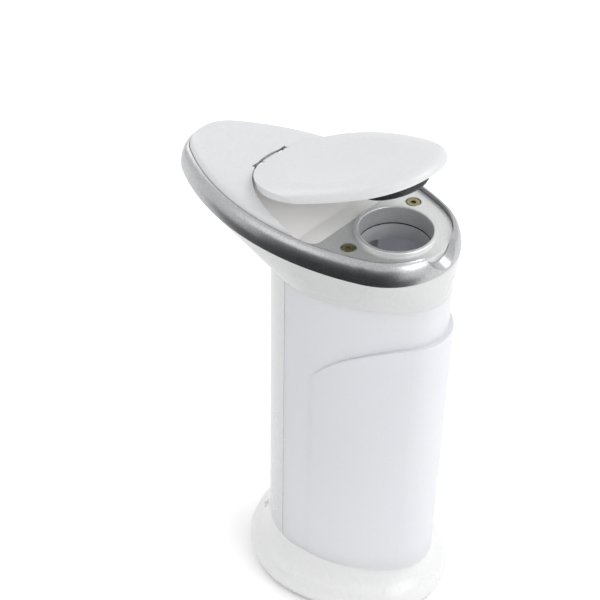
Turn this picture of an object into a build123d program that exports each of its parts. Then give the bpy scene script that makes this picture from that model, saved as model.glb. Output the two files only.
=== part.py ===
"""Automatic soap dispenser with a top-filled tank, a hinged lid and a roller pump.

Millimetres. +Z is up, the spout points along -Y and X runs across. The origin
is on the table, under the middle of the foot. The lid is drawn half open.
"""
from build123d import *
from math import atan2, cos, hypot, pi, radians, sin, sqrt
import os

os.makedirs("parts", exist_ok=True)

# Head outline at its widest, where the trim ring starts
head_front = -78.3
head_back = 33.2
head_nose_radius = 16.6
head_tail_radius = 25.2
head_flank_radius = 96.3

# Column outline: the electronics spine in front and the tank behind
column_front = -33.0
column_back = 33.1
column_nose_radius = 26.5
column_tail_radius = 15.75
column_flank_radius = 49.0

# Foot outline at its widest
foot_front = -40.4
foot_back = 39.9
foot_nose_radius = 34.7
foot_tail_radius = 26.3
foot_flank_radius = 56.0

# Heights above the table
pad_height = 0.9
foot_bulge_height = 6.0
foot_top = 18.85
chin_bottom = 141.2
ring_bottom = 154.0
flare_steps = 4
ring_top = 161.5
crown_rise = 3.4

# Walls and clearances
shell_wall = 2.0
tank_wall = 1.8
seam_gap = 0.15
moving_gap = 0.35
running_gap = 0.05

# Trim ring, deck and fill mouth
ring_band_inset = 3.15
ring_ledge_width = 3.2
ring_ledge_thickness = 2.2
deck_edge = -2.2
deck_horn_edge = -5.9
deck_top = 159.8
deck_thickness = 1.6
mouth_y = 12.37
mouth_radius = 12.24
collar_wall = 1.5
collar_rise = 1.2
collar_depth = 5.2
deck_screw_x = 17.15
deck_screw_y = 6.5
deck_screw_radius = 2.6
scoop_radius = 9.0
scoop_depth = 3.3
scoop_tilt = 24.0

# Lid, its curved front edge and its hinge
arc_centre_y = -4.6
lid_arc_half_width = 25.9
lid_arc_reach = 37.5
cover_arc_half_width = 26.5
cover_arc_reach = 39.0
hinge_z = 163.2
hinge_setback = 0.5
lid_wall = 1.8
lid_rest_angle = 21.5
knuckle_radius = 1.4
knuckle_half_length = 3.6
ear_thickness = 2.0
pin_radius = 0.75
dish_half_length = 20.0
dish_half_width = 18.5
dish_y = -8.0
dish_depth = 1.4
stopper_depth = 4.4
stopper_side_gap = 0.9
stopper_flange = 2.2
stopper_flange_thickness = 1.0

# Hinge well: floor, fold and ramp in front of the deck
well_edge_inset = 2.05
well_fold_y = -9.5
well_fold_depth = 1.1
well_thickness = 1.5
well_under_cover = 3.0
well_corner_radius = 4.0

# Tank
tank_front = -12.8
tank_shoulder = 150.0
tank_neck_wall = 1.6
neck_seal_thickness = 0.5
pouch_depth = 2.0
pouch_side_height = 107.1
pouch_back_height = 126.3
outlet_z = 24.5
outlet_radius = 1.9
outlet_nipple = 1.6

# Roller pump and its drive
rotor_y = -38.6
gear_module = 0.6
gear_teeth = 40
pinion_teeth = 12
gear_thickness = 2.0
gear_backlash = 0.05
pump_floor = 149.0
pump_plate = 1.2
roller_orbit = 6.0
roller_radius = 2.0
roller_height = 3.4
roller_pin_radius = 0.8
roller_count = 3
squeezed_tube = 1.6
squeezed_height = 3.4
race_wall = 1.2
axle_radius = 1.5
tube_radius = 1.5
tube_bore = 0.8
motor_radius = 7.5
motor_length = 25.0
motor_shaft_radius = 1.0
pump_boss_x = 14.0
pump_boss_y = -33.0
pump_boss_radius = 2.5

# Spout and sensor under the chin
spout_y = -64.0
spout_radius = 3.4
spout_bore = 1.5
spout_drop = 5.0
hose_rise = 2.6
sensor_y = -54.5
sensor_radius = 3.4
sensor_lens_thickness = 1.2
diode_radius = 1.2
diode_spacing = 4.2
diode_length = 3.6

# Circuit board in the spine
board_width = 26.0
board_height = 50.0
board_thickness = 1.6
board_bottom = 62.0
board_standoff = 1.8

# Batteries, door and switch in the foot
battery_radius = 5.25
battery_length = 44.5
battery_nub = 1.2
battery_count = 3
battery_pitch = 10.8
battery_mid_y = -4.5
contact_room = 1.6
contact_thickness = 0.4
door_margin = 1.2
door_thickness = 2.2
door_corner_radius = 4.0
plate_thickness = 2.4
plate_inset = 4.3
pad_radius = 2.5
door_pad_radius = 4.0
pad_front_x = 22.5
pad_front_y = -20.0
pad_back_x = 16.0
pad_back_y = 24.0
foot_screw_x = 23.0
foot_screw_y = -6.0
screw_boss_radius = 2.6
screw_head_radius = 2.1
screw_head_height = 1.1
screw_shank_radius = 0.85
screw_shank_length = 7.0
switch_y = -32.7
switch_travel = 3.0
switch_knob_length = 3.6
switch_knob_width = 2.2

HEAD = (head_front, head_back, head_nose_radius, head_tail_radius, head_flank_radius)
COLUMN = (column_front, column_back, column_nose_radius, column_tail_radius, column_flank_radius)
FOOT = (foot_front, foot_back, foot_nose_radius, foot_tail_radius, foot_flank_radius)


def joins(shape):
    """Directions of the outward normal where the nose and tail arcs meet the flank."""
    front, back, nose, tail, flank = shape
    span = back - tail - front - nose
    reach_nose = flank - nose
    reach_tail = flank - tail
    along = (reach_nose**2 - reach_tail**2 + span**2) / (2 * span)
    across = sqrt(reach_nose**2 - along**2)
    return atan2(-along, across), atan2(span - along, across)


def on_egg(shape, inset, turn):
    """Point of the outline whose outward normal has this direction, on the +X side."""
    front, back, nose, tail, flank = shape
    nose_join, tail_join = joins(shape)
    centre, radius = (0, front + nose), nose
    if turn > tail_join:
        centre, radius = (0, back - tail), tail
    elif turn > nose_join:
        shift = flank - nose
        centre, radius = (-shift * cos(nose_join), front + nose - shift * sin(nose_join)), flank
    return (centre[0] + (radius - inset) * cos(turn), centre[1] + (radius - inset) * sin(turn))


def between(low, high, share, inset=0.0):
    """Outline part of the way from one shape to another, moved inwards by the inset.

    Points with the same outward direction belong together, so a loft through
    such outlines runs smoothly all the way round.
    """
    turns = sorted({-pi / 2, pi / 2, *joins(low), *joins(high)})

    def point(turn):
        return Vector(*on_egg(low, inset, turn)) * (1 - share) + Vector(*on_egg(high, inset, turn)) * share

    with BuildSketch() as outline:
        with BuildLine():
            for start, end in zip(turns, turns[1:]):
                ThreePointArc(point(start), point((start + end) / 2), point(end))
            mirror(about=Plane.YZ)
        make_face()
    return outline.sketch


def egg(shape, inset=0.0):
    """Closed outline of four tangent arcs, moved inwards by the inset."""
    return between(shape, shape, 0, inset)


def prism(face, bottom, top):
    """Upright solid on a flat outline."""
    with BuildPart() as solid:
        with BuildSketch(Plane.XY.offset(bottom)):
            add(face)
        extrude(amount=top - bottom)
    return solid.part


def stack(sections, ruled=False):
    """Solid through a stack of outlines, each given as (face, height)."""
    with BuildPart() as solid:
        for face, height in sections:
            with BuildSketch(Plane.XY.offset(height)):
                add(face)
        loft(ruled=ruled)
    return solid.part


def tube(points, radii, outer, bore):
    """Hose along straight runs joined by arcs."""
    with BuildPart() as hose:
        with BuildLine() as route:
            FilletPolyline(*points, radius=radii)
        with BuildSketch(Plane(route.line @ 0, z_dir=route.line % 0)):
            Circle(outer)
            Circle(bore, mode=Mode.SUBTRACT)
        sweep()
    return hose.part


def front_half(line_y, width=200.0):
    """Large plate in front of a line across the part."""
    with BuildSketch() as region:
        with Locations((0, line_y)):
            Rectangle(width, width, align=(Align.CENTER, Align.MAX))
    return region.sketch


def arc_region(half_width, reach, back=60.0):
    """Tongue-shaped plan of the lid: half an ellipse in front, open to the back."""
    with BuildSketch() as region:
        with BuildLine():
            EllipticalCenterArc((0, arc_centre_y), half_width, reach, start_angle=180, arc_size=180)
            Polyline(
                (half_width, arc_centre_y),
                (half_width, back),
                (-half_width, back),
                (-half_width, arc_centre_y),
            )
        make_face()
    return region.sketch


def upright(x, y, z, facing=-1):
    """Sketch plane across the part that faces the front or the back."""
    return Plane((x, y, z), x_dir=(1, 0, 0), z_dir=(0, facing, 0))


def finish(builder, name):
    """Name the finished piece and write it."""
    builder.part.label = name
    export_step(builder.part, f"parts/{name}.step")


# Places in the pump, which the hoses and the tank outlet follow
cup_floor = pump_floor + pump_plate
roller_reach = roller_orbit + roller_radius
tube_inner = roller_reach + 0.3
race_radius = tube_inner + squeezed_tube + 0.1
race_outer = race_radius + race_wall
roller_bottom = cup_floor + 0.4
roller_top = roller_bottom + roller_height
gear_bottom = roller_top + 0.6
gear_top = gear_bottom + gear_thickness
pitch_radius = gear_module * gear_teeth / 2
pinion_pitch_radius = gear_module * pinion_teeth / 2
motor_y = rotor_y + pitch_radius + pinion_pitch_radius + gear_backlash
leg_x = (tube_inner + race_radius - 0.1) / 2
leg_start = rotor_y + sqrt(roller_reach**2 - (leg_x - tube_radius - running_gap) ** 2) + moving_gap
outlet_x = leg_x
spine_back = tank_front - seam_gap
spine_inner_back = spine_back - shell_wall
nipple_end = spine_inner_back - outlet_nipple

# Foot: a flared moulding, hollow from below, with walls round the batteries
foot_bottom = pad_height
ceiling = foot_top - shell_wall
plate_top = foot_bottom + plate_thickness
battery_z = foot_bottom + door_thickness + moving_gap + battery_radius
bay_half_width = (battery_count - 1) * battery_pitch / 2 + battery_radius + moving_gap
bay_half_length = battery_length / 2 + contact_room
bay_front = battery_mid_y - bay_half_length
bay_back = battery_mid_y + bay_half_length

with BuildPart() as foot:
    add(
        stack(
            [
                (between(FOOT, COLUMN, 0, 2.2), foot_bottom),
                (between(FOOT, COLUMN, 0, 0.5), foot_bottom + 2.0),
                (between(FOOT, COLUMN, 0, 0), foot_bulge_height),
                (between(FOOT, COLUMN, 0, 1.2), foot_bulge_height + 3.2),
                (between(FOOT, COLUMN, 0, 4.6), foot_bulge_height + 7.0),
                (between(FOOT, COLUMN, 1), foot_top),
            ],
            ruled=True,
        )
    )
    add(
        stack(
            [
                (between(FOOT, COLUMN, 0, plate_inset - seam_gap), foot_bottom - 1),
                (between(FOOT, COLUMN, 0, plate_inset - seam_gap), foot_bulge_height),
                (between(FOOT, COLUMN, 1, shell_wall + 0.6), ceiling),
            ],
            ruled=True,
        ),
        mode=Mode.SUBTRACT,
    )
    for side in (-1, 1):
        with BuildSketch(Plane.XY.offset(plate_top)):
            with Locations((side * foot_screw_x, foot_screw_y)):
                Circle(screw_boss_radius)
        extrude(amount=ceiling - plate_top)
        with BuildSketch(Plane.XY.offset(plate_top + 0.6)):
            with Locations((0, battery_mid_y + side * (bay_half_length + shell_wall / 2))):
                Rectangle(2 * bay_half_width, shell_wall)
        extrude(amount=ceiling - plate_top - 0.6)
        with Locations((side * foot_screw_x, foot_screw_y, plate_top)):
            Hole(screw_shank_radius + running_gap, depth=screw_shank_length + 1)
    with Locations((outlet_x, (tank_front + column_front) / 2, foot_top)):
        Hole(2.0, depth=shell_wall + 1)
finish(foot, "base_foot")

# Closing plate of the foot, with the door opening, the switch slot and screw seats
door_half_width = bay_half_width + door_margin
door_front = bay_front - door_margin
door_back = bay_back + door_margin
door_length = door_back - door_front
door_mid = (door_front + door_back) / 2

with BuildPart() as base_plate:
    add(prism(egg(FOOT, plate_inset), foot_bottom, plate_top))
    with BuildSketch(Plane.XY.offset(foot_bottom)):
        with Locations((0, door_mid)):
            RectangleRounded(
                2 * (door_half_width + moving_gap), door_length + 2 * moving_gap, door_corner_radius
            )
    extrude(amount=plate_thickness, mode=Mode.SUBTRACT)
    with BuildSketch(Plane.XY.offset(foot_bottom)):
        with Locations((0, switch_y)):
            Rectangle(switch_knob_length + switch_travel + 2 * moving_gap, switch_knob_width + 2 * moving_gap)
    extrude(amount=plate_thickness, mode=Mode.SUBTRACT)
    with Locations(Plane((0, 0, foot_bottom), x_dir=(1, 0, 0), z_dir=(0, 0, -1))):
        with Locations((-foot_screw_x, -foot_screw_y), (foot_screw_x, -foot_screw_y)):
            CounterBoreHole(screw_shank_radius + moving_gap, screw_head_radius + 0.1, screw_head_height + 0.1)
finish(base_plate, "base_plate")

# Battery door with a finger notch
with BuildPart() as battery_door:
    with BuildSketch(Plane.XY.offset(foot_bottom)):
        with Locations((0, door_mid)):
            RectangleRounded(2 * door_half_width, door_length, door_corner_radius)
    extrude(amount=door_thickness)
    with BuildSketch(Plane.XY.offset(foot_bottom)):
        with Locations((0, door_back - 5)):
            SlotOverall(14, 5)
    extrude(amount=door_thickness / 2, mode=Mode.SUBTRACT)
finish(battery_door, "battery_door")

with BuildPart() as door_pad:
    with BuildSketch():
        Circle(door_pad_radius)
    extrude(amount=pad_height)
    chamfer(door_pad.edges().group_by(Axis.Z)[0], pad_height / 3)
finish(door_pad, "door_pad")

# Rubber pads and the screws of the closing plate
pad_places = [
    (-pad_front_x, pad_front_y),
    (pad_front_x, pad_front_y),
    (-pad_back_x, pad_back_y),
    (pad_back_x, pad_back_y),
]
for number, place in enumerate(pad_places, start=1):
    with BuildPart() as pad:
        with BuildSketch():
            with Locations(place):
                Circle(pad_radius)
        extrude(amount=pad_height)
        chamfer(pad.edges().group_by(Axis.Z)[0], pad_height / 3)
    finish(pad, f"foot_pad_{number}")

for number, side in enumerate((-1, 1), start=1):
    with BuildPart() as foot_screw:
        with BuildSketch(Plane.XY.offset(foot_bottom + 0.1)):
            with Locations((side * foot_screw_x, foot_screw_y)):
                Circle(screw_head_radius)
        extrude(amount=screw_head_height)
        with BuildSketch(Plane.XY.offset(foot_bottom + 0.1 + screw_head_height)):
            with Locations((side * foot_screw_x, foot_screw_y)):
                Circle(screw_shank_radius)
        extrude(amount=screw_shank_length)
    finish(foot_screw, f"foot_screw_{number}")

# Batteries lie side by side, turned about in turn, between the contact strips
for number in range(1, battery_count + 1):
    battery_x = (number - (battery_count + 1) / 2) * battery_pitch
    facing = 1 if number % 2 else -1
    with BuildPart() as battery:
        with BuildSketch(upright(battery_x, battery_mid_y - facing * battery_length / 2, battery_z, facing)):
            Circle(battery_radius)
        extrude(amount=battery_length - battery_nub)
        with BuildSketch(upright(battery_x, battery_mid_y, battery_z, facing)):
            Circle(1.9)
        extrude(amount=battery_length / 2)
    finish(battery, f"battery_{number}")

for side, name in ((-1, "front"), (1, "back")):
    wall_face = battery_mid_y + side * bay_half_length
    with BuildPart() as contact:
        with BuildSketch(upright(0, wall_face, battery_z, -side)):
            Rectangle(2 * (bay_half_width - 2.4), 2 * battery_radius - 2)
        extrude(amount=contact_thickness)
        with BuildSketch(upright(0, wall_face - side * contact_thickness, battery_z, -side)):
            with GridLocations(battery_pitch, 1, battery_count, 1):
                Circle(2.2)
        extrude(amount=contact_room - contact_thickness)
    finish(contact, f"battery_contacts_{name}")

# Slide switch under the foot
with BuildPart() as switch_body:
    with BuildSketch(Plane.XY.offset(plate_top)):
        with Locations((0, switch_y)):
            Rectangle(switch_knob_length + switch_travel + 3, switch_knob_width + 1.6)
    extrude(amount=4.0)
    with BuildSketch(Plane.XY.offset(plate_top)):
        with Locations((0, switch_y)):
            Rectangle(switch_knob_length + switch_travel + 2 * moving_gap, switch_knob_width + 2 * moving_gap)
    extrude(amount=1.6, mode=Mode.SUBTRACT)
finish(switch_body, "switch_body")

with BuildPart() as switch_knob:
    with BuildSketch(Plane.XY.offset(foot_bottom + 0.3)):
        with Locations((-switch_travel / 2, switch_y)):
            Rectangle(switch_knob_length, switch_knob_width)
    extrude(amount=plate_thickness + 1.6 - 0.3 - moving_gap)
finish(switch_knob, "switch_knob")

# Spine: hollow front of the column, with a back wall that the tank leans on
board_face = spine_inner_back - board_standoff
outlet_hole = outlet_radius + 0.9

with BuildPart() as spine:
    add(prism(egg(COLUMN) & front_half(spine_back), foot_top, chin_bottom))
    add(
        prism(egg(COLUMN, shell_wall) & front_half(spine_inner_back), foot_top + shell_wall, chin_bottom),
        mode=Mode.SUBTRACT,
    )
    for corner_x in (-1, 1):
        for corner_z in (0, 1):
            post_x = corner_x * (board_width / 2 - 2.5)
            post_z = board_bottom + 3 + corner_z * (board_height - 6)
            with BuildSketch(upright(post_x, spine_inner_back, post_z)):
                Circle(1.8)
            extrude(amount=board_standoff)
    with BuildSketch(upright(outlet_x, spine_back, outlet_z)):
        Circle(outlet_hole)
    extrude(amount=shell_wall, mode=Mode.SUBTRACT)
finish(spine, "spine_shell")

# Circuit board with its larger components
with BuildPart() as board:
    with BuildSketch(upright(0, board_face, board_bottom + board_height / 2)):
        Rectangle(board_width, board_height)
    extrude(amount=board_thickness)
    part_face = upright(0, board_face - board_thickness, board_bottom)
    with BuildSketch(part_face):
        with Locations((0, board_height * 0.55)):
            Rectangle(8, 5)
        with Locations((-7, board_height * 0.8)):
            Rectangle(4, 4)
    extrude(amount=1.6)
    with BuildSketch(part_face):
        with Locations((-6, board_height * 0.25)):
            Circle(3.2)
    extrude(amount=6)
finish(board, "control_board")

# Tank: a closed bottle behind the spine, with a pouch at the back and a neck on top
neck_radius = mouth_radius + tank_neck_wall
neck_top = deck_top - collar_depth - neck_seal_thickness
back_half_inset = tank_front + tank_wall


def behind(face, line_y):
    """Part of an outline that lies behind a line across the part."""
    return face - front_half(line_y)


with BuildPart() as tank:
    add(prism(behind(egg(COLUMN), tank_front), foot_top, chin_bottom))
    pouch_low = (column_front, column_back + 0.75 * pouch_depth, *COLUMN[2:])
    pouch_high = (column_front, column_back + pouch_depth, *COLUMN[2:])
    with BuildPart(mode=Mode.PRIVATE) as pouch:
        add(stack([(egg(pouch_low), foot_top), (egg(pouch_high), pouch_back_height)], ruled=True))
        with BuildSketch(Plane.YZ):
            with BuildLine():
                sweep_start = (0.0, pouch_side_height)
                sweep_end = (column_back + pouch_depth + 1, pouch_back_height)
                ThreePointArc(
                    sweep_start,
                    (column_back * 0.4, (pouch_side_height + 2 * pouch_back_height) / 3),
                    sweep_end,
                )
                Polyline(sweep_end, (sweep_end[0], foot_top), (0.0, foot_top), sweep_start)
            make_face()
        extrude(amount=60, both=True, mode=Mode.INTERSECT)
    add(pouch.part)
    add(prism(behind(egg(COLUMN, shell_wall + seam_gap), tank_front + seam_gap), chin_bottom, tank_shoulder))
    with BuildSketch(Plane.XY.offset(tank_shoulder)):
        with Locations((0, mouth_y)):
            Circle(neck_radius)
    extrude(amount=neck_top - tank_shoulder)
    add(
        prism(
            behind(egg(COLUMN, shell_wall + seam_gap + tank_wall), back_half_inset + seam_gap),
            foot_top + tank_wall,
            tank_shoulder - tank_wall,
        ),
        mode=Mode.SUBTRACT,
    )
    with Locations((0, mouth_y, neck_top)):
        Hole(mouth_radius, depth=neck_top - tank_shoulder + tank_wall + 1)
    with BuildSketch(upright(outlet_x, tank_front + tank_wall, outlet_z)):
        Circle(outlet_radius)
    extrude(amount=tank_front + tank_wall - nipple_end)
    with BuildSketch(upright(outlet_x, tank_front + tank_wall + 1, outlet_z)):
        Circle(tube_bore)
    extrude(amount=tank_front + tank_wall + 1 - nipple_end, mode=Mode.SUBTRACT)
finish(tank, "tank")

with BuildPart() as neck_seal:
    with BuildSketch(Plane.XY.offset(neck_top)):
        with Locations((0, mouth_y)):
            Circle(neck_radius)
            Circle(mouth_radius, mode=Mode.SUBTRACT)
    extrude(amount=neck_seal_thickness)
finish(neck_seal, "neck_seal")

with BuildPart() as outlet_seal:
    with BuildSketch(upright(outlet_x, spine_back, outlet_z)):
        Circle(outlet_hole)
        Circle(outlet_radius, mode=Mode.SUBTRACT)
    extrude(amount=shell_wall)
finish(outlet_seal, "outlet_seal")

# Head: flared shell with the chin in front, open at the top and down to the column
chin_rise = ring_bottom - chin_bottom
chin_run = column_front - head_front
chin_slope = atan2(chin_rise, chin_run)


def chin_height(y):
    """Height of the chin's underside on the middle plane."""
    return chin_bottom + (column_front - y) * chin_rise / chin_run


def flare(inset, bottom):
    """Solid that widens from the column's outline to the head's, in even steps."""
    shares = [step / flare_steps for step in range(flare_steps + 1)]
    sections = [(between(COLUMN, HEAD, share, inset), bottom + share * chin_rise) for share in shares]
    return stack(sections, ruled=True)


with BuildPart() as head:
    add(flare(0, chin_bottom))
    add(prism(egg(COLUMN, shell_wall), chin_bottom, chin_bottom + shell_wall), mode=Mode.SUBTRACT)
    add(flare(shell_wall, chin_bottom + shell_wall), mode=Mode.SUBTRACT)
    for side in (-1, 1):
        with BuildSketch(Plane.XY.offset(chin_bottom + shell_wall)):
            with Locations((side * pump_boss_x, pump_boss_y)):
                Circle(pump_boss_radius)
        extrude(amount=pump_floor - chin_bottom - shell_wall)
    with BuildSketch(Plane.XY.offset(chin_height(spout_y) - 3)):
        with Locations((0, spout_y)):
            Circle(spout_radius + seam_gap)
    extrude(amount=9, mode=Mode.SUBTRACT)
    lens_plane = Plane((0, sensor_y, chin_height(sensor_y)), x_dir=(1, 0, 0), z_dir=(0, sin(chin_slope), cos(chin_slope)))
    with BuildSketch(lens_plane.offset(-1)):
        Circle(sensor_radius)
    extrude(amount=6, mode=Mode.SUBTRACT)
finish(head, "head_shell")

# Spout with a collar inside the chin and a side barb for the hose
hose_z = roller_bottom + roller_height / 2
barb_z = hose_z + hose_rise
spout_entry = (-13.5, -47.4)
spout_reach = hypot(spout_entry[0], spout_entry[1] - spout_y)
spout_aim = (spout_entry[0] / spout_reach, (spout_entry[1] - spout_y) / spout_reach)

with BuildPart() as spout:
    spout_tip = chin_height(spout_y) - spout_drop
    spout_top = barb_z + tube_radius + 0.8
    with BuildSketch(Plane.XY.offset(spout_tip)):
        with Locations((0, spout_y)):
            Circle(spout_radius)
    extrude(amount=spout_top - spout_tip)
    chamfer(spout.edges().group_by(Axis.Z)[0], 0.8)
    with BuildSketch(Plane((0, spout_y, barb_z), z_dir=(*spout_aim, 0))):
        Circle(tube_bore - 0.02)
    extrude(amount=spout_radius + 3)
    with BuildSketch(Plane.XY.offset(spout_tip)):
        with Locations((0, spout_y)):
            Circle(spout_bore)
    extrude(amount=barb_z - spout_tip, mode=Mode.SUBTRACT)
finish(spout, "spout")

# Sensor: dark lens in the chin, with a sender and a receiver on a small board above it
with BuildPart() as lens:
    with BuildSketch(lens_plane):
        Circle(sensor_radius - 0.05)
    extrude(amount=sensor_lens_thickness)
finish(lens, "sensor_lens")

diode_base = sensor_lens_thickness
for side, name in ((-1, "sender"), (1, "receiver")):
    with BuildPart() as diode:
        with BuildSketch(lens_plane.offset(diode_base)):
            with Locations((side * diode_spacing / 2, 0)):
                Circle(diode_radius)
        extrude(amount=diode_length)
    finish(diode, f"infrared_{name}")

with BuildPart() as sensor_board:
    with BuildSketch(lens_plane.offset(diode_base + diode_length)):
        Rectangle(diode_spacing + 2 * diode_radius + 0.6, 2 * diode_radius + 1.6)
    extrude(amount=1.0)
finish(sensor_board, "sensor_board")

# Trim ring: a convex band with a ledge inside and a thumb scoop at the back
band = ring_top - ring_bottom
ledge_inset = ring_band_inset + ring_ledge_width
ledge_top = ring_bottom + ring_ledge_thickness

with BuildPart() as ring:
    add(
        stack(
            [
                (egg(HEAD), ring_bottom),
                (egg(HEAD, 0.05), ring_bottom + 0.22 * band),
                (egg(HEAD, 0.4), ring_bottom + 0.47 * band),
                (egg(HEAD, 1.05), ring_bottom + 0.72 * band),
                (egg(HEAD, 1.85), ring_bottom + 0.9 * band),
                (egg(HEAD, ring_band_inset - 0.35), ring_top),
            ],
            ruled=True,
        )
    )
    add(prism(egg(HEAD, ring_band_inset), ledge_top, ring_top), mode=Mode.SUBTRACT)
    add(prism(egg(HEAD, ledge_inset), ring_bottom, ledge_top), mode=Mode.SUBTRACT)
    scoop_start = (0, head_back - ring_band_inset - 6, ring_top + scoop_radius - scoop_depth + 2.2)
    with BuildSketch(Plane(scoop_start, z_dir=(0, cos(radians(scoop_tilt)), -sin(radians(scoop_tilt))))):
        Circle(scoop_radius)
    extrude(amount=30, mode=Mode.SUBTRACT)
finish(ring, "trim_ring")

# Plan of the hinge well, shared with the deck that meets it
inner_inset = ring_band_inset + seam_gap
well_inset = inner_inset + well_edge_inset


def well_plan(grow=0.0):
    """Outline of the hinge well with its two rounded back corners."""
    with BuildSketch() as plan:
        add(egg(HEAD, well_inset - grow) & front_half(deck_edge + grow))
        back_corners = plan.vertices().group_by(Axis.Y)[-1]
        fillet(back_corners, well_corner_radius)
    return plan.sketch


# Deck: plate round the fill mouth, with a skirt on the ring's ledge
collar_top = deck_top + collar_rise
deck_bottom = deck_top - deck_thickness

with BuildPart() as deck:
    deck_plan = behind(egg(HEAD, inner_inset), deck_horn_edge) - well_plan(seam_gap)
    skirt_inner = behind(egg(HEAD, inner_inset + shell_wall - 0.3), deck_horn_edge + 1.5)
    add(prism(deck_plan, deck_bottom, deck_top))
    add(prism(deck_plan - skirt_inner, ledge_top, deck_bottom))
    with BuildSketch(Plane.XY.offset(deck_top - collar_depth)):
        with Locations((0, mouth_y)):
            Circle(mouth_radius + collar_wall)
    extrude(amount=collar_depth + collar_rise)
    with Locations((0, mouth_y, collar_top)):
        Hole(mouth_radius, depth=collar_depth + collar_rise + 0.1)
    collar_edges = deck.edges().filter_by(GeomType.CIRCLE).group_by(Axis.Z)[-1]
    fillet(collar_edges, 0.4)
    for side in (-1, 1):
        with BuildSketch(Plane.XY.offset(deck_bottom)):
            with Locations((side * deck_screw_x, deck_screw_y)):
                Circle(deck_screw_radius + 0.1)
        extrude(amount=deck_thickness, mode=Mode.SUBTRACT)
finish(deck, "deck_plate")

for number, side in enumerate((-1, 1), start=1):
    with BuildPart() as deck_screw:
        with BuildSketch(Plane.XY.offset(deck_bottom)):
            with Locations((side * deck_screw_x, deck_screw_y)):
                Circle(deck_screw_radius)
        extrude(amount=deck_thickness - 0.1)
        with BuildSketch(Plane.XY.offset(deck_bottom)):
            with Locations((side * deck_screw_x, deck_screw_y)):
                Circle(1.4)
        extrude(amount=-6)
        chamfer(deck_screw.edges().group_by(Axis.Z)[-1], 0.4)
        with Locations((side * deck_screw_x, deck_screw_y, deck_top - 0.1)):
            Hole(0.9, depth=0.9)
    finish(deck_screw, f"deck_screw_{number}")

# Hinge well: floor beside the deck, a fold, and a ramp up to the curved edge
well_top = ring_top - 0.5
fold_z = deck_top - well_fold_depth
well_bottom = fold_z - well_thickness
hinge_y = arc_centre_y - lid_arc_reach + hinge_setback
ear_inner = knuckle_half_length + moving_gap
ear_outer = ear_inner + ear_thickness


def front_arc(half_width, reach, back_y):
    """Half-moon between a curved front edge and a straight line."""
    with BuildSketch() as moon:
        with BuildLine():
            arc = EllipticalCenterArc((0, back_y), half_width, reach, start_angle=180, arc_size=180)
            Line(arc @ 1, arc @ 0)
        make_face()
    return moon.sketch


with BuildPart() as well:
    well_reach = front_half(deck_edge) - front_half(hinge_y - well_under_cover)
    add(prism(well_plan() & well_reach, well_bottom, well_top))
    add(
        prism((well_plan() - egg(HEAD, well_inset + 1.6)) & well_reach, ledge_top, well_bottom),
    )
    ramp_reach = well_fold_y - (arc_centre_y - cover_arc_reach)
    add(
        stack(
            [
                (front_arc(cover_arc_half_width - 3.2, 1.0, well_fold_y), fold_z),
                (front_arc(cover_arc_half_width, ramp_reach, well_fold_y), well_top + 0.4),
            ],
            ruled=True,
        ),
        mode=Mode.SUBTRACT,
    )
    with BuildSketch(Plane.YZ):
        with BuildLine():
            Polyline(
                (deck_edge + 1, deck_top),
                (deck_edge, deck_top - 0.05),
                (well_fold_y, fold_z),
                (well_fold_y, well_top + 1),
                (deck_edge + 1, well_top + 1),
                close=True,
            )
        make_face()
    extrude(amount=40, both=True, mode=Mode.SUBTRACT)
    for side in (-1, 1):
        with BuildSketch(Plane((side * ear_inner, 0, 0), x_dir=(0, 1, 0), z_dir=(side, 0, 0))):
            with Locations((hinge_y, side * hinge_z)):
                Circle(knuckle_radius)
            stem_z = side * (hinge_z + well_bottom) / 2
            with Locations((hinge_y, stem_z)):
                Rectangle(1.4 * knuckle_radius, hinge_z - well_bottom)
        extrude(amount=ear_thickness)
    with BuildSketch(Plane.YZ):
        with Locations((hinge_y, hinge_z)):
            Circle(pin_radius + 0.01)
    extrude(amount=ear_outer + 1, both=True, mode=Mode.SUBTRACT)
    pocket_radius = hypot(hinge_setback, hinge_z - ring_top) + moving_gap
    with BuildSketch(Plane.YZ):
        with Locations((hinge_y, hinge_z)):
            Circle(pocket_radius)
    extrude(amount=ear_inner, both=True, mode=Mode.SUBTRACT)
finish(well, "hinge_well")

with BuildPart() as hinge_pin:
    with BuildSketch(Plane.YZ):
        with Locations((hinge_y, hinge_z)):
            Circle(pin_radius)
    extrude(amount=ear_outer, both=True)
finish(hinge_pin, "hinge_pin")


def crown(inset):
    """Low dome over the head's outline."""
    return stack(
        [
            (egg(HEAD, inset), ring_top),
            (egg(HEAD, inset + 0.1 * crown_rise), ring_top + 0.4 * crown_rise),
            (egg(HEAD, inset + 0.45 * crown_rise), ring_top + 0.72 * crown_rise),
            (egg(HEAD, inset + 1.25 * crown_rise), ring_top + 0.9 * crown_rise),
            (egg(HEAD, inset + 2.6 * crown_rise), ring_top + crown_rise),
        ],
        ruled=True,
    )


# Top cover: front of the crown, with a skirt on the ring's ledge
crown_ceiling = ring_top + crown_rise - 2.3
lid_corner_room = 2.4
lid_corner_sweep = 2.1

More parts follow.
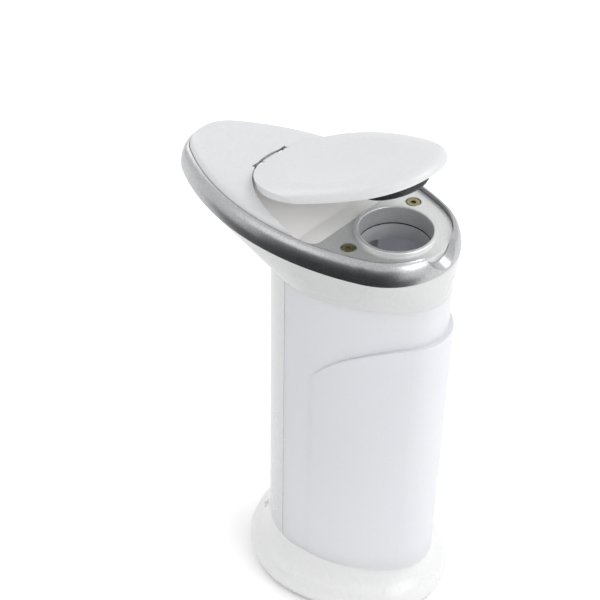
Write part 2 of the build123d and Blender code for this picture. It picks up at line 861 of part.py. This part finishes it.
with BuildPart() as cover:
    add(crown(inner_inset))
    cover_skirt = inner_inset + shell_wall - 0.3
    add(prism(egg(HEAD, inner_inset), ledge_top, ring_top))
    add(prism(egg(HEAD, cover_skirt), ledge_top, crown_ceiling), mode=Mode.SUBTRACT)
    add(prism(arc_region(cover_arc_half_width, cover_arc_reach), ledge_top, ring_top + 9), mode=Mode.SUBTRACT)
    add(prism(behind(egg(HEAD), deck_horn_edge), ledge_top, ring_top + 9), mode=Mode.SUBTRACT)
    with BuildSketch(Plane.YZ):
        with Locations((hinge_y, hinge_z)):
            Circle(lid_corner_sweep)
    extrude(amount=ear_outer + lid_corner_room, both=True, mode=Mode.SUBTRACT)
    with BuildSketch(Plane.XY.offset(ledge_top)):
        with Locations((0, hinge_y)):
            Rectangle(2 * (ear_outer + seam_gap), 2 * (knuckle_radius + seam_gap))
    extrude(amount=hinge_z - ledge_top, mode=Mode.SUBTRACT)
finish(cover, "top_cover")

# Lid: back of the crown in one moulding with its rim, dish and hinge knuckle
lid_inset = ring_band_inset + moving_gap
lid_top = ring_top + crown_rise
lid_turn = Axis((0, hinge_y, hinge_z), (1, 0, 0))

with BuildPart() as lid:
    add(crown(lid_inset))
    add(prism(arc_region(lid_arc_half_width, lid_arc_reach), ring_top, lid_top), mode=Mode.INTERSECT)
    hollow_plan = egg(HEAD, lid_inset + lid_wall) & arc_region(lid_arc_half_width - lid_wall, lid_arc_reach - lid_wall)
    add(prism(hollow_plan, ring_top, crown_ceiling), mode=Mode.SUBTRACT)
    dish_radius = (dish_half_width**2 + dish_depth**2) / (2 * dish_depth)
    dish = scale(Sphere(dish_radius, mode=Mode.PRIVATE), by=(1, dish_half_length / dish_half_width, 1), mode=Mode.PRIVATE)
    add(dish.moved(Location((0, dish_y, lid_top - dish_depth + dish_radius))), mode=Mode.SUBTRACT)
    with BuildSketch(Plane.YZ):
        with Locations((hinge_y, hinge_z)):
            Circle(knuckle_radius)
    extrude(amount=knuckle_half_length, both=True)
    for side in (-1, 1):
        with BuildSketch(Plane.YZ.offset(side * (ear_inner + ear_thickness / 2))):
            with Locations((hinge_y, hinge_z)):
                Circle(hypot(0.7 * knuckle_radius, hinge_z - ring_top) + seam_gap)
        extrude(amount=ear_thickness / 2 + moving_gap, both=True, mode=Mode.SUBTRACT)
    with BuildSketch(Plane.YZ):
        with Locations((hinge_y, hinge_z)):
            Circle(pin_radius + running_gap)
    extrude(amount=knuckle_half_length + 1, both=True, mode=Mode.SUBTRACT)
lid.part = lid.part.rotate(lid_turn, lid_rest_angle)
finish(lid, "lid")

# Stopper under the lid that closes the fill mouth
stopper_radius = mouth_radius - stopper_side_gap
stopper_bottom = collar_top - stopper_depth

with BuildPart() as stopper:
    with BuildSketch(Plane.XY.offset(collar_top + moving_gap)):
        with Locations((0, mouth_y)):
            Circle(mouth_radius + stopper_flange)
    extrude(amount=crown_ceiling - collar_top - moving_gap)
    with BuildSketch(Plane.XY.offset(stopper_bottom)):
        with Locations((0, mouth_y)):
            Circle(stopper_radius)
    extrude(amount=stopper_depth + moving_gap)
    chamfer(stopper.edges().group_by(Axis.Z)[0], 0.8)
    with BuildSketch(Plane.XY.offset(stopper_bottom)):
        with Locations((0, mouth_y)):
            Circle(stopper_radius - 2.4)
    extrude(amount=stopper_depth - 1, mode=Mode.SUBTRACT)
stopper.part = stopper.part.rotate(lid_turn, lid_rest_angle)
finish(stopper, "lid_stopper")

# Pump housing: cup with the race, the axle and the plate that carries the motor
with BuildPart() as pump_housing:
    with BuildSketch(Plane.XY.offset(pump_floor)):
        with Locations((0, rotor_y)):
            Circle(race_outer)
        with Locations((0, (rotor_y + motor_y + motor_radius) / 2)):
            Rectangle(2 * (leg_x - tube_radius - moving_gap), motor_y + motor_radius - rotor_y)
        for side in (-1, 1):
            with Locations((side * pump_boss_x / 2, pump_boss_y)):
                Rectangle(pump_boss_x, 2 * pump_boss_radius)
            with Locations((side * pump_boss_x, pump_boss_y)):
                Circle(pump_boss_radius)
        with Locations((0, motor_y)):
            Circle(motor_shaft_radius + 1.2, mode=Mode.SUBTRACT)
    extrude(amount=pump_plate)
    with BuildSketch(Plane.XY.offset(cup_floor)):
        with Locations((0, rotor_y)):
            Circle(race_outer)
            Circle(race_radius, mode=Mode.SUBTRACT)
        with Locations((0, rotor_y)):
            Rectangle(4 * race_outer, 2 * race_outer, align=(Align.CENTER, Align.MIN), mode=Mode.SUBTRACT)
    extrude(amount=roller_height + 0.5)
    with BuildSketch(Plane.XY.offset(cup_floor)):
        with Locations((0, rotor_y)):
            Circle(axle_radius)
    extrude(amount=gear_top - cup_floor - 0.3)
finish(pump_housing, "pump_housing")


def gear_outline(teeth, bore):
    """Spur gear outline with straight-sided teeth."""
    pitch = gear_module * teeth / 2
    tip = pitch + gear_module * 0.9
    root = pitch - gear_module * 1.2
    step = 2 * pi / teeth
    corners = []
    for tooth in range(teeth):
        for radius, lean in ((root, -0.34), (pitch, -0.235), (tip, -0.11), (tip, 0.11), (pitch, 0.235), (root, 0.34)):
            angle = (tooth + lean) * step
            corners.append((radius * sin(angle), radius * cos(angle)))
    with BuildSketch() as outline:
        with BuildLine():
            Polyline(*corners, close=True)
        make_face()
        Circle(bore, mode=Mode.SUBTRACT)
    return outline.sketch


# Rotor: gear on top, hub on the axle and a pin for each roller
with BuildPart() as rotor:
    with BuildSketch(Plane.XY.offset(gear_bottom)):
        with Locations((0, rotor_y)):
            add(gear_outline(gear_teeth, axle_radius + running_gap))
    extrude(amount=gear_thickness)
    with BuildSketch(Plane.XY.offset(cup_floor + 0.3)):
        with Locations((0, rotor_y)):
            Circle(axle_radius + 1.3)
            Circle(axle_radius + running_gap, mode=Mode.SUBTRACT)
    extrude(amount=gear_bottom - cup_floor - 0.3)
    with BuildSketch(Plane.XY.offset(roller_bottom)):
        with Locations((0, rotor_y)):
            with PolarLocations(roller_orbit, roller_count, start_angle=90):
                Circle(roller_pin_radius)
    extrude(amount=gear_bottom - roller_bottom)
finish(rotor, "pump_rotor")

for number in range(1, roller_count + 1):
    turn = radians(90 + (number - 1) * 360 / roller_count)
    with BuildPart() as roller:
        with BuildSketch(Plane.XY.offset(roller_bottom)):
            with Locations((roller_orbit * cos(turn), rotor_y + roller_orbit * sin(turn))):
                Circle(roller_radius)
                Circle(roller_pin_radius + running_gap, mode=Mode.SUBTRACT)
        extrude(amount=roller_height)
    finish(roller, f"pump_roller_{number}")

# Motor under the plate, and the pinion on its shaft
with BuildPart() as motor:
    with BuildSketch(Plane.XY.offset(pump_floor - motor_length)):
        with Locations((0, motor_y)):
            Circle(motor_radius)
    extrude(amount=motor_length)
    chamfer(motor.edges().group_by(Axis.Z)[0], 0.8)
    with BuildSketch(Plane.XY.offset(pump_floor)):
        with Locations((0, motor_y)):
            Circle(motor_shaft_radius)
    extrude(amount=gear_top - pump_floor)
finish(motor, "motor")

with BuildPart() as pinion:
    with BuildSketch(Plane.XY.offset(gear_bottom)):
        with Locations((0, motor_y)):
            add(gear_outline(pinion_teeth, motor_shaft_radius + 0.02).rotate(Axis.Z, 180 / pinion_teeth))
    extrude(amount=gear_thickness)
finish(pinion, "motor_pinion")

# Hoses: squeezed loop in the race, riser from the tank and lead to the spout
leg_end = rotor_y + 8.6

with BuildPart() as pump_tube:
    with BuildSketch(Plane.XY.offset(hose_z - squeezed_height / 2)):
        with Locations((0, rotor_y)):
            Circle(race_radius - 0.1)
            Circle(tube_inner, mode=Mode.SUBTRACT)
            Rectangle(4 * race_outer, 2 * race_outer, align=(Align.CENTER, Align.MIN), mode=Mode.SUBTRACT)
        with Locations((-leg_x, leg_start), (leg_x, leg_start)):
            Rectangle(race_radius - 0.1 - tube_inner, leg_start - rotor_y, align=(Align.CENTER, Align.MAX))
    extrude(amount=squeezed_height)
    for side in (-1, 1):
        with BuildSketch(Plane((side * leg_x, leg_start, hose_z), z_dir=(0, 1, 0))):
            Circle(tube_radius)
        extrude(amount=leg_end - leg_start)
finish(pump_tube, "pump_tube")

riser_y = nipple_end - 4.6
intake_points = [
    (outlet_x, nipple_end, outlet_z),
    (outlet_x, riser_y, outlet_z),
    (outlet_x, riser_y, hose_z),
    (leg_x, leg_end, hose_z),
]
with BuildPart() as intake_hose:
    add(tube(intake_points, [2.9, 3.2], tube_radius, tube_bore))
finish(intake_hose, "intake_hose")

lead_x = leg_x + 7.4
outlet_points = [
    (-leg_x, leg_end, hose_z),
    (-leg_x, leg_end + 5.0, hose_z),
    (-lead_x, leg_end + 5.0, hose_z),
    (-lead_x, -38.0, hose_z),
    (spout_entry[0], spout_entry[1], hose_z + hose_rise / 2),
    (spout_aim[0] * 0.5 * spout_reach, spout_y + spout_aim[1] * 0.5 * spout_reach, barb_z),
    (spout_aim[0] * (spout_radius + 0.3), spout_y + spout_aim[1] * (spout_radius + 0.3), barb_z),
]
with BuildPart() as outlet_hose:
    add(tube(outlet_points, [3.6, 3.6, 12.0, 12.0, 12.0], tube_radius, tube_bore))
finish(outlet_hose, "outlet_hose")
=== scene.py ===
"""Automatic soap dispenser, dressed for the render.

Metres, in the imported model's own frame: +Z up, the spout towards -Y.
"""

from math import cos, radians, sin

import bpy
from mathutils import Matrix, Vector

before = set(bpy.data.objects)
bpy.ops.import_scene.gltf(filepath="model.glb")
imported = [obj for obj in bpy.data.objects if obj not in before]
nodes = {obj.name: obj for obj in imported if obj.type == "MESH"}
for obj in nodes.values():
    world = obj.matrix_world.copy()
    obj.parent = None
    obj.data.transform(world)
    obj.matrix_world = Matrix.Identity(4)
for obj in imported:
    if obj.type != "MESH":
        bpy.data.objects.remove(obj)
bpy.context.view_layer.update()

# Camera
# It stands behind and to the side of the dispenser and looks down on the open lid.
# Its place, lens and roll come from the outlines of the ring, the column and the foot.
photo_size = 600
focal_pixels = 1504.5
centre_pixel = (296.2, 292.0)
camera_place = Vector((0.32218, 0.24229, 0.44741))
camera_aim = Vector((-0.59849, -0.50500, -0.62192)).normalized()
camera_roll = radians(0.842)
level_right = camera_aim.cross(Vector((0, 0, 1))).normalized()
level_up = level_right.cross(camera_aim)
right = level_right * cos(camera_roll) + level_up * sin(camera_roll)
up = level_up * cos(camera_roll) - level_right * sin(camera_roll)

bpy.ops.object.camera_add()
camera = bpy.context.object
camera.name = "photo_camera"
camera.matrix_world = Matrix(
    (
        (right.x, up.x, -camera_aim.x, camera_place.x),
        (right.y, up.y, -camera_aim.y, camera_place.y),
        (right.z, up.z, -camera_aim.z, camera_place.z),
        (0, 0, 0, 1),
    )
)
camera.data.sensor_width = 36
camera.data.lens = focal_pixels / photo_size * camera.data.sensor_width
camera.data.shift_x = (photo_size / 2 - centre_pixel[0]) / photo_size
camera.data.shift_y = (centre_pixel[1] - photo_size / 2) / photo_size
camera.data.clip_start = 0.01
bpy.context.scene.camera = camera
bpy.context.scene.view_settings.view_transform = "Standard"


# Floor
# A plain pale sheet under the whole view. It is matt, so that it shows only a soft
# shadow, and it lies just under the pads.
def new_finish(name, color, roughness, metallic=0.0):
    """A material with its even values set on the shader itself."""
    made = bpy.data.materials.new(name)
    made.use_nodes = True
    shader = made.node_tree.nodes["Principled BSDF"]
    shader.inputs["Base Color"].default_value = (*color, 1)
    shader.inputs["Roughness"].default_value = roughness
    shader.inputs["Metallic"].default_value = metallic
    return made


floor_size = 8
floor_drop = 0.0003
bpy.ops.mesh.primitive_plane_add(size=floor_size, location=(0, 0, -floor_drop))
floor = bpy.context.object
floor.name = "floor"
floor_paper = new_finish("floor_paper", (0.95, 0.95, 0.95), 0.8)
floor.data.materials.append(floor_paper)

# Light
# A bright white room, a soft panel overhead and weaker ones from three sides. All
# of them look at the middle of the head.
room = bpy.data.worlds.new("white_room")
bpy.context.scene.world = room
room.use_nodes = True
room.node_tree.nodes["Background"].inputs["Color"].default_value = (1, 1, 1, 1)
room.node_tree.nodes["Background"].inputs["Strength"].default_value = 1.0


def soft_panel(name, place, size, power):
    """Square area light that looks at the middle of the head."""
    head_middle = Vector((0, 0, 0.12))
    bpy.ops.object.light_add(type="AREA", location=place)
    light = bpy.context.object
    light.name = name
    light.data.shape = "SQUARE"
    light.data.size = size
    light.data.energy = power
    aim = head_middle - Vector(place)
    light.rotation_euler = aim.to_track_quat("-Z", "Y").to_euler()


soft_panel("panel_overhead", (-0.45, 0.35, 0.95), 0.5, 3.0)
soft_panel("panel_side", (0.9, -0.5, 0.6), 0.7, 1.0)
soft_panel("panel_front", (-0.2, -0.9, 0.5), 0.5, 1.0)
soft_panel("panel_back", (0.1, 0.85, 0.55), 0.5, 2.5)

# Dark cards
# One lies on the floor and one stands behind it, outside the view. They show only in
# glossy surfaces, where they give the silver ring its dark lower band.
card_black = new_finish("card_black", (0.02, 0.022, 0.026), 0.9)


def dark_card(name, place, tilt, depth):
    """Dark sheet that only reflections see, facing the dispenser's right side."""
    bpy.ops.mesh.primitive_plane_add(size=1)
    card = bpy.context.object
    card.name = name
    card.location = place
    card.rotation_euler = (0, radians(tilt), radians(12))
    card.scale = (depth, 1.1, 1)
    card.visible_camera = False
    card.visible_diffuse = False
    card.visible_shadow = False
    card.data.materials.append(card_black)


dark_card("card_lying", (0.27, 0.05, 0.001), 0, 0.40)
dark_card("card_standing", (0.47, 0.09, 0.13), 90, 0.26)


# White mouldings
# Foot, spine, head, closing plate, battery door, spout and switch body are gloss-white
# moulded plastic with a very fine moulded grain, joined by screws from below.
grain_height = 0.00002
sheen_drift = 0.04


def grained(name, dark, light, roughness, metallic=0.0, scale=900):
    """A finish with a fine grain and a faint drift of tone and sheen."""
    made = new_finish(name, light, roughness, metallic)
    tree = made.node_tree
    shader = tree.nodes["Principled BSDF"]
    place = tree.nodes.new("ShaderNodeTexCoord")
    noise = tree.nodes.new("ShaderNodeTexNoise")
    noise.inputs["Scale"].default_value = scale
    noise.inputs["Detail"].default_value = 3.0
    tree.links.new(place.outputs["Object"], noise.inputs["Vector"])
    bump = tree.nodes.new("ShaderNodeBump")
    bump.inputs["Strength"].default_value = 0.12
    bump.inputs["Distance"].default_value = grain_height
    tree.links.new(noise.outputs["Fac"], bump.inputs["Height"])
    tree.links.new(bump.outputs["Normal"], shader.inputs["Normal"])
    tones = tree.nodes.new("ShaderNodeValToRGB")
    tones.color_ramp.elements[0].position = 0.35
    tones.color_ramp.elements[0].color = (*dark, 1)
    tones.color_ramp.elements[1].position = 0.65
    tones.color_ramp.elements[1].color = (*light, 1)
    tree.links.new(noise.outputs["Fac"], tones.inputs["Fac"])
    tree.links.new(tones.outputs["Color"], shader.inputs["Base Color"])
    drift = tree.nodes.new("ShaderNodeTexNoise")
    drift.inputs["Scale"].default_value = 60
    tree.links.new(place.outputs["Object"], drift.inputs["Vector"])
    sheen = tree.nodes.new("ShaderNodeMapRange")
    sheen.inputs["To Min"].default_value = roughness - sheen_drift
    sheen.inputs["To Max"].default_value = roughness + sheen_drift
    tree.links.new(drift.outputs["Fac"], sheen.inputs["Value"])
    tree.links.new(sheen.outputs["Result"], shader.inputs["Roughness"])
    return made


def dress(names, finish, soft_edge=0):
    """Give CAD nodes a finish, and round their shading over low edges if asked."""
    for name in names:
        node = nodes[name]
        node.data.materials.clear()
        node.data.materials.append(finish)
        if soft_edge:
            weld = node.modifiers.new("weld", "WELD")
            weld.merge_threshold = 0.000002
            split = node.modifiers.new("split", "EDGE_SPLIT")
            split.split_angle = radians(soft_edge)
            node.modifiers.new("normals", "WEIGHTED_NORMAL")


# Two copies of the one gloss white: the spine, head and small parts get a darker copy, painted shade
# like the shade under the ring, and the foot a lighter copy, painted light.
gloss_white_painted_shade = grained("gloss_white_painted_shade", (0.515, 0.517, 0.52), (0.535, 0.537, 0.54), 0.28)
foot_white_painted_light = grained("foot_white_painted_light", (0.63, 0.632, 0.632), (0.65, 0.652, 0.652), 0.28)
dress(["base_foot"], foot_white_painted_light, 40)
dress(["spine_shell", "head_shell", "base_plate", "battery_door", "spout", "switch_body"], gloss_white_painted_shade)

# Tank
# Blown frosted plastic, thin and milky, with the swoosh pressed into its sides and a
# soft grain on its outside. It slips down behind the spine and seals under the deck.
frosted = grained("frosted_tank", (0.78, 0.79, 0.825), (0.80, 0.81, 0.845), 0.42, scale=1400)
frosted_shader = frosted.node_tree.nodes["Principled BSDF"]
frosted_shader.inputs["Subsurface Weight"].default_value = 0.25
frosted_shader.inputs["Subsurface Radius"].default_value = (0.006, 0.006, 0.007)
frosted_shader.inputs["Subsurface Scale"].default_value = 1.0
frosted_shader.inputs["Transmission Weight"].default_value = 0.3
frosted_shader.inputs["IOR"].default_value = 1.49
dress(["tank"], frosted)

# Trim ring
# Plastic ring in silver metallic paint with a fine sparkle, rounded over its edge and
# scooped at the back for a thumb. It clips round the head and hides the joint.
silver_paint = grained("silver_paint", (0.36, 0.362, 0.37), (0.50, 0.503, 0.515), 0.32, 1.0, 2600)
dress(["trim_ring"], silver_paint, 50)

# Deck
# Silver-painted plate with a raised collar round the fill mouth, held by two screws
# whose plating has dulled to an olive brass.
silver_deck = grained("silver_deck", (0.64, 0.645, 0.645), (0.72, 0.725, 0.725), 0.36, 0.62, 2200)
dress(["deck_plate"], silver_deck)
dull_brass = grained("dull_brass", (0.20, 0.18, 0.10), (0.42, 0.38, 0.24), 0.38, 1.0, 2600)
dress(["deck_screw_1", "deck_screw_2"], dull_brass)

# Hinge well
# Folded white tray under the front of the lid, in thin moulded plastic. Its ears hold
# a steel pin, and two steel screws close the foot below.
# The tray's white is set far lighter than the other white mouldings: painted light that makes up for
# the shade the lid casts into the well.
well_white_painted_light = grained("well_white_painted_light", (0.93, 0.92, 0.905), (0.95, 0.94, 0.925), 0.42, scale=600)
dress(["hinge_well"], well_white_painted_light)
bright_steel = grained("bright_steel", (0.50, 0.50, 0.51), (0.62, 0.62, 0.63), 0.3, 1.0, 2600)
dress(["hinge_pin", "foot_screw_1", "foot_screw_2"], bright_steel)

# Crown
# Front cover and lid, in a slightly satin white. The lid's top has a shallow dish for a
# fingertip, and under it hangs the black rubber plug that closes the mouth.
satin_white = grained("satin_white", (0.545, 0.55, 0.56), (0.565, 0.57, 0.58), 0.32, scale=700)
dress(["top_cover", "lid"], satin_white, 40)
black_rubber = grained("black_rubber", (0.010, 0.011, 0.014), (0.022, 0.023, 0.028), 0.5, scale=1200)
dress(["lid_stopper"], black_rubber)

# Seals and feet
# Rubber rings at the tank's neck and nipple, pressed between their neighbours. Four
# round pads on the foot and one on the battery door are glued on.
dress(["neck_seal", "outlet_seal"], black_rubber)
grey_rubber = grained("grey_rubber", (0.05, 0.05, 0.055), (0.08, 0.08, 0.085), 0.7, scale=1500)
dress(["foot_pad_1", "foot_pad_2", "foot_pad_3", "foot_pad_4", "door_pad"], grey_rubber)

# Pump
# Acetal wheel, pinion and rollers in a moulded cup, round a half loop of silicone hose,
# with hoses to the tank's nipple and to the spout's barb. A steel motor hangs below.
acetal = grained("acetal", (0.74, 0.72, 0.66), (0.80, 0.78, 0.72), 0.4, scale=800)
dress(["pump_rotor", "motor_pinion", "pump_housing"], acetal)
dress(["pump_roller_1", "pump_roller_2", "pump_roller_3"], acetal)
silicone = grained("silicone", (0.70, 0.71, 0.70), (0.78, 0.79, 0.78), 0.3, scale=500)
dress(["pump_tube", "intake_hose", "outlet_hose"], silicone)
motor_can = grained("motor_can", (0.48, 0.48, 0.47), (0.58, 0.58, 0.57), 0.34, 1.0, 2000)
dress(["motor"], motor_can)

# Battery bay
# Three cells in dark plain sleeves lie between strips of nickel-plated spring steel.
# The black knob of the switch stands in a slot of the closing plate.
cell_sleeve = grained("cell_sleeve", (0.05, 0.055, 0.065), (0.08, 0.085, 0.1), 0.3, scale=500)
dress(["battery_1", "battery_2", "battery_3"], cell_sleeve)
nickel_strip = grained("nickel_strip", (0.58, 0.56, 0.52), (0.70, 0.68, 0.64), 0.3, 1.0, 2000)
dress(["battery_contacts_front", "battery_contacts_back"], nickel_strip)
knob_black = grained("knob_black", (0.012, 0.012, 0.013), (0.02, 0.02, 0.022), 0.35, scale=1000)
dress(["switch_knob"], knob_black)

# Boards and sensor
# Green lacquered boards stand in the spine and lie over the lens. A sender and a
# receiver of clear resin look out through the dark lens under the chin.
board_green = grained("board_green", (0.01, 0.09, 0.04), (0.02, 0.14, 0.06), 0.35, scale=400)
dress(["control_board", "sensor_board"], board_green)
lens_dark = grained("lens_dark", (0.006, 0.003, 0.004), (0.012, 0.005, 0.007), 0.12, scale=300)
dress(["sensor_lens"], lens_dark)
diode_clear = grained("diode_clear", (0.30, 0.33, 0.45), (0.38, 0.42, 0.55), 0.1, scale=300)
dress(["infrared_sender", "infrared_receiver"], diode_clear)

# Update
# The view layer is brought up to date once more at the end.
bpy.context.view_layer.update()
